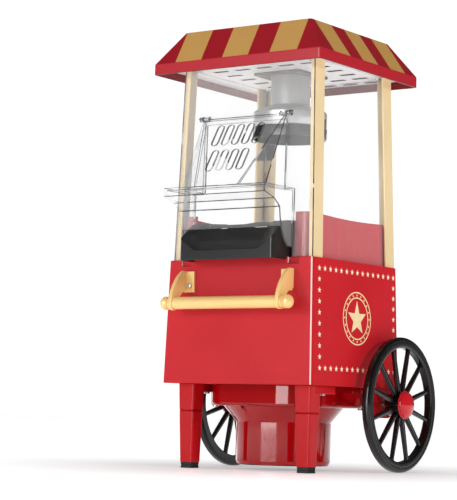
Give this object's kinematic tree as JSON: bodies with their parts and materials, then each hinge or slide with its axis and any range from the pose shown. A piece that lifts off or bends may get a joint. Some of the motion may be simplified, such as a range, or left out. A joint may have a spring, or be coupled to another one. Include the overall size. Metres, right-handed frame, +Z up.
{
  "type": "popcorn maker",
  "caption": "Cart-shaped hot-air popcorn maker: red body on legs and spoked wheels, clear cabinet with flap door, hanging kettle and striped canopy.",
  "frame": {"origin": "on the table, under the middle of the cart", "axes": "+Z up, -Y is the front with the flap door and the push handle, +X is the right-hand side seen from the front"},
  "size_m": [0.234, 0.262, 0.4635],
  "materials": {
    "red_paint": "gloss enamel on sheet steel",
    "red_plastic": "glossy moulded plastic",
    "gold_paint": "satin gold",
    "clear_plastic": "clear polystyrene",
    "black_gloss": "glossy black",
    "black_plastic": "satin black",
    "white_plastic": "white",
    "grey_plastic": "smooth grey",
    "rubber": "black rubber",
    "steel": "zinc plated",
    "aluminium": "spun aluminium",
    "mica": "mica sheet",
    "resistance_wire": "drawn wire",
    "board_green": "laminate",
    "white_ceramic": "glazed"
  },
  "bodies": {
    "cart": {"axle_bracket_left": "red_paint", "axle_bracket_right": "red_paint", "axle_clips": "steel", "axle_stubs": "steel", "back_panel": "clear_plastic", "base_bottom_cover": "black_plastic", "base_housing": "red_plastic", "body_floor": "red_paint", "body_shell": "red_paint", "cabinet_tub": "red_plastic", "ceiling_plate": "white_plastic", "ceiling_screws": "steel", "chamber_collar": "black_plastic", "chassis_screws": "steel", "cord_gland": "black_plastic", "door_hinge_pins": "steel", "fan_motor": "steel", "fan_shroud": "black_plastic", "foot_left": "rubber", "foot_right": "rubber", "front_panel": "clear_plastic", "front_plate": "red_paint", "handle_bar": "gold_paint", "handle_bracket_left": "gold_paint", "handle_bracket_right": "gold_paint", "handle_end_caps": "gold_paint", "handle_screws": "steel", "heater_coil": "resistance_wire", "heater_former": "mica", "heater_housing": "steel", "kernel_tube": "grey_plastic", "kettle": "grey_plastic", "kettle_lugs": "black_plastic", "kettle_mount": "black_plastic", "leg_left": "red_plastic", "leg_right": "red_plastic", "motor_bracket": "black_plastic", "motor_supply_board": "board_green", "popcorn_chute": "black_gloss", "popping_chamber": "aluminium", "post_front_left": "gold_paint", "post_front_right": "gold_paint", "post_rear_left": "gold_paint", "post_rear_right": "gold_paint", "roof_canopy": "red_plastic", "side_panel_left": "clear_plastic", "side_panel_right": "clear_plastic", "switch_bezel": "black_plastic", "thermal_fuse": "white_ceramic", "thermostat": "steel"},
    "door": {"flap_door": "clear_plastic"},
    "wheel_left": {"wheel_left": "black_plastic", "hub_cap_left": "red_plastic"},
    "wheel_right": {"wheel_right": "black_plastic", "hub_cap_right": "red_plastic"},
    "fan": {"fan_impeller": "black_plastic", "motor_shaft": "steel"},
    "switch": {"rocker_switch": "black_gloss"},
    "measuring_cap": {"measuring_cap": "red_plastic"}
  },
  "joints": [
    {"name": "door_hinge", "type": "hinge", "parent": "cart", "child": "door", "pos_m": [0, -0.0796, 0.356], "axis": [-1, 0, 0], "range_deg": [0, 55]},
    {"name": "wheel_left_spin", "type": "hinge", "parent": "cart", "child": "wheel_left", "pos_m": [-0.1035, 0.0617, 0.0693], "axis": [1, 0, 0], "continuous": true},
    {"name": "wheel_right_spin", "type": "hinge", "parent": "cart", "child": "wheel_right", "pos_m": [0.1035, 0.0617, 0.0693], "axis": [1, 0, 0], "continuous": true},
    {"name": "fan_spin", "type": "hinge", "parent": "cart", "child": "fan", "pos_m": [0, 0.003, 0.059], "axis": [0, 0, 1], "continuous": true},
    {"name": "switch_rock", "type": "hinge", "parent": "cart", "child": "switch", "pos_m": [0.042, 0.08045, 0.118], "axis": [1, 0, 0], "range_deg": [0, 16]},
    {"name": "cap_lift", "type": "slide", "parent": "cart", "child": "measuring_cap", "axis": [0, 0, 1], "range_m": [0, 0.12]}
  ]
}
